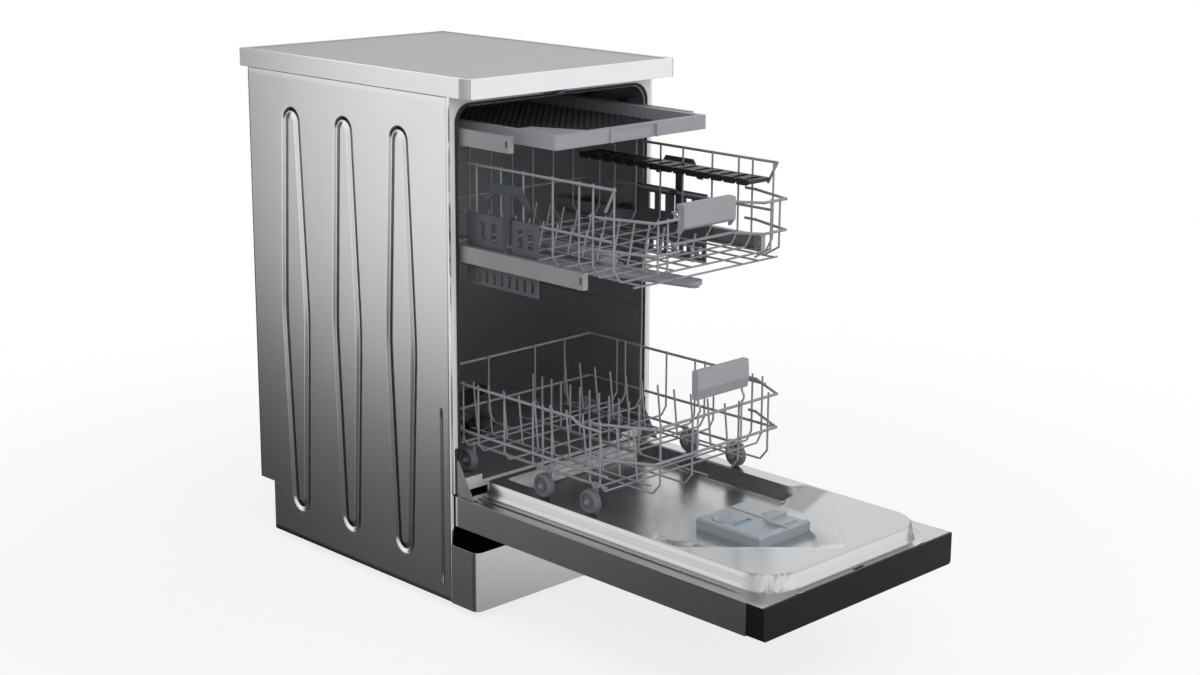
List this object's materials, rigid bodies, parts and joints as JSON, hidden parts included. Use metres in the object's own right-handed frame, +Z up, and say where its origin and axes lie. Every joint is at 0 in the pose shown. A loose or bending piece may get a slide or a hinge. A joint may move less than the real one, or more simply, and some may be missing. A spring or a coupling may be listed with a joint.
{
  "type": "freestanding slimline dishwasher",
  "caption": "Slim free-standing dishwasher with its door open, cutlery tray and two wire baskets drawn out, silver cabinet on levelling feet.",
  "frame": {"origin": "on the floor, under the middle of the footprint with the door open", "axes": "+Z up, -Y towards the user, +X to the user's right when facing the front"},
  "size_m": [0.448, 1.18, 0.85],
  "materials": {
    "worktop_inlay": "fine-grained laminate, satin",
    "silver_paint": "silver powder coat, satin",
    "grey_trim": "moulded grey plastic",
    "galvanised_steel": "zinc-coated sheet",
    "dark_plastic": "moulded polypropylene, fine texture",
    "stainless_steel": "pressed stainless sheet, bright",
    "seal_rubber": "extruded seal, matt",
    "white_plastic": "moulded polypropylene",
    "grey_plastic": "moulded grey plastic, satin",
    "cast_ballast": "cast block, rough",
    "black_plastic": "moulded black plastic",
    "coated_wire": "steel wire dipped in grey polyamide",
    "slate_plastic": "moulded slate plastic",
    "gloss_black": "polished black plastic",
    "blue_plastic": "tinted indicator window"
  },
  "bodies": {
    "cabinet": {"worktop_board": "worktop_inlay", "worktop_rim": "silver_paint", "worktop_corners": "grey_trim", "left_side_panel": "silver_paint", "right_side_panel": "silver_paint", "rear_panel": "galvanised_steel", "base_tray": "dark_plastic", "plinth": "silver_paint", "tub": "stainless_steel", "tub_gasket": "seal_rubber", "sump": "dark_plastic", "filter_plate": "stainless_steel", "wash_pump": "dark_plastic", "drain_pump": "dark_plastic", "softener_tank": "white_plastic", "inlet_valve": "white_plastic", "counterweight": "cast_ballast", "hinge_brackets": "galvanised_steel", "door_springs": "galvanised_steel", "latch_strike": "stainless_steel", "feed_pipe": "grey_plastic", "rail_guides": "dark_plastic"},
    "front_left_foot": {"front_left_foot": "black_plastic"},
    "front_right_foot": {"front_right_foot": "black_plastic"},
    "rear_left_foot": {"rear_left_foot": "black_plastic"},
    "rear_right_foot": {"rear_right_foot": "black_plastic"},
    "filter_cylinder": {"filter_cylinder": "dark_plastic"},
    "salt_cap": {"salt_cap": "dark_plastic"},
    "lower_spray_arm": {"lower_spray_arm": "dark_plastic"},
    "upper_spray_arm": {"upper_spray_arm": "grey_plastic"},
    "tray_rails": {"tray_rails": "stainless_steel"},
    "cutlery_tray": {"tray_frame": "grey_plastic", "tray_grid": "dark_plastic"},
    "basket_rails": {"basket_rails": "stainless_steel"},
    "upper_basket": {"upper_basket_walls": "coated_wire", "upper_basket_floor": "coated_wire", "upper_basket_handle": "grey_plastic", "height_adjusters": "grey_plastic", "upper_spray_feed": "grey_plastic"},
    "left_lever": {"left_lever": "slate_plastic"},
    "right_lever": {"right_lever": "slate_plastic"},
    "cup_shelf": {"cup_shelf": "black_plastic"},
    "lower_basket": {"lower_basket_walls": "coated_wire", "lower_basket_floor": "coated_wire", "lower_basket_handle": "grey_plastic"},
    "fold_tines": {"fold_tines": "coated_wire"},
    "wheels_1": {"wheels_1": "grey_plastic"},
    "wheels_2": {"wheels_2": "grey_plastic"},
    "wheels_3": {"wheels_3": "grey_plastic"},
    "wheels_4": {"wheels_4": "grey_plastic"},
    "door": {"door_outer_panel": "silver_paint", "door_liner": "stainless_steel", "control_panel": "gloss_black", "dispenser": "grey_plastic", "door_latch": "black_plastic", "hinge_arms": "galvanised_steel"},
    "dispenser_lid": {"dispenser_lid": "grey_plastic"},
    "rinse_lid": {"rinse_lid": "blue_plastic"},
    "power_button": {"power_button": "gloss_black"},
    "start_button": {"start_button": "gloss_black"}
  },
  "joints": [
    {"name": "front_left_foot_height", "type": "slide", "parent": "cabinet", "child": "front_left_foot", "axis": [0, 0, 1], "range_m": [-0.02, 0]},
    {"name": "front_right_foot_height", "type": "slide", "parent": "cabinet", "child": "front_right_foot", "axis": [0, 0, 1], "range_m": [-0.02, 0]},
    {"name": "rear_left_foot_height", "type": "slide", "parent": "cabinet", "child": "rear_left_foot", "axis": [0, 0, 1], "range_m": [-0.02, 0]},
    {"name": "rear_right_foot_height", "type": "slide", "parent": "cabinet", "child": "rear_right_foot", "axis": [0, 0, 1], "range_m": [-0.02, 0]},
    {"name": "door_hinge", "type": "hinge", "parent": "cabinet", "child": "door", "pos_m": [0, 0.045, 0.1825], "axis": [1, 0, 0], "range_deg": [0, 1]},
    {"name": "filter_twist", "type": "hinge", "parent": "cabinet", "child": "filter_cylinder", "pos_m": [0, 0.278, 0.2], "axis": [0, 0, 1], "range_deg": [0, 45]},
    {"name": "salt_cap_turn", "type": "hinge", "parent": "cabinet", "child": "salt_cap", "pos_m": [-0.125, 0.25, 0.2], "axis": [0, 0, 1], "range_deg": [0, 90]},
    {"name": "lower_arm_spin", "type": "hinge", "parent": "cabinet", "child": "lower_spray_arm", "pos_m": [0, 0.32, 0.226], "axis": [0, 0, 1], "continuous": true},
    {"name": "upper_arm_spin", "type": "hinge", "parent": "upper_basket", "child": "upper_spray_arm", "pos_m": [0, -0.07, 0.539], "axis": [0, 0, 1], "continuous": true},
    {"name": "tray_rails_slide", "type": "slide", "parent": "cabinet", "child": "tray_rails", "axis": [0, 1, 0], "range_m": [0, 0.139]},
    {"name": "tray_slide", "type": "slide", "parent": "tray_rails", "child": "cutlery_tray", "axis": [0, 1, 0], "range_m": [0, 0.063]},
    {"name": "basket_rails_slide", "type": "slide", "parent": "cabinet", "child": "basket_rails", "axis": [0, 1, 0], "range_m": [0, 0.298]},
    {"name": "upper_basket_slide", "type": "slide", "parent": "basket_rails", "child": "upper_basket", "axis": [0, 1, 0], "range_m": [0, 0.09]},
    {"name": "left_lever_squeeze", "type": "hinge", "parent": "upper_basket", "child": "left_lever", "pos_m": [-0.178, -0.043, 0.638], "axis": [0, 1, 0], "range_deg": [0, 3], "stiffness_Nm_per_rad": 2},
    {"name": "right_lever_squeeze", "type": "hinge", "parent": "upper_basket", "child": "right_lever", "pos_m": [0.178, -0.043, 0.638], "axis": [0, -1, 0], "range_deg": [0, 3], "stiffness_Nm_per_rad": 2},
    {"name": "cup_shelf_fold", "type": "hinge", "parent": "upper_basket", "child": "cup_shelf", "pos_m": [0.1697, -0.065, 0.688], "axis": [0, 1, 0], "range_deg": [0, 85]},
    {"name": "lower_basket_slide", "type": "slide", "parent": "cabinet", "child": "lower_basket", "axis": [0, 1, 0], "range_m": [0, 0.386]},
    {"name": "tines_fold", "type": "hinge", "parent": "lower_basket", "child": "fold_tines", "pos_m": [-0.01, 0, 0.2611], "axis": [0, 1, 0], "range_deg": [0, 80]},
    {"name": "wheels_1_spin", "type": "hinge", "parent": "lower_basket", "child": "wheels_1", "pos_m": [0, -0.2, 0.2303], "axis": [1, 0, 0], "continuous": true},
    {"name": "wheels_2_spin", "type": "hinge", "parent": "lower_basket", "child": "wheels_2", "pos_m": [0, -0.098, 0.2303], "axis": [1, 0, 0], "continuous": true},
    {"name": "wheels_3_spin", "type": "hinge", "parent": "lower_basket", "child": "wheels_3", "pos_m": [0, 0.08, 0.2303], "axis": [1, 0, 0], "continuous": true},
    {"name": "wheels_4_spin", "type": "hinge", "parent": "lower_basket", "child": "wheels_4", "pos_m": [0, 0.14, 0.2303], "axis": [1, 0, 0], "continuous": true},
    {"name": "dispenser_lid_slide", "type": "slide", "parent": "door", "child": "dispenser_lid", "axis": [0, -1, 0], "range_m": [0, 0.038]},
    {"name": "rinse_lid_turn", "type": "hinge", "parent": "door", "child": "rinse_lid", "pos_m": [-0.032, -0.352, 0.2], "axis": [0, 0, 1], "range_deg": [0, 90]},
    {"name": "power_button_press", "type": "slide", "parent": "door", "child": "power_button", "axis": [0, 0, 1], "range_m": [0, 0.002], "stiffness_N_per_m": 400},
    {"name": "start_button_press", "type": "slide", "parent": "door", "child": "start_button", "axis": [0, 0, 1], "range_m": [0, 0.002], "stiffness_N_per_m": 400}
  ],
  "couplings": [
    {"joint": "wheels_1_spin", "follows": "lower_basket_slide", "rad_per_m": -52.632},
    {"joint": "wheels_2_spin", "follows": "lower_basket_slide", "rad_per_m": -52.632},
    {"joint": "wheels_3_spin", "follows": "lower_basket_slide", "rad_per_m": -52.632},
    {"joint": "wheels_4_spin", "follows": "lower_basket_slide", "rad_per_m": -52.632}
  ]
}
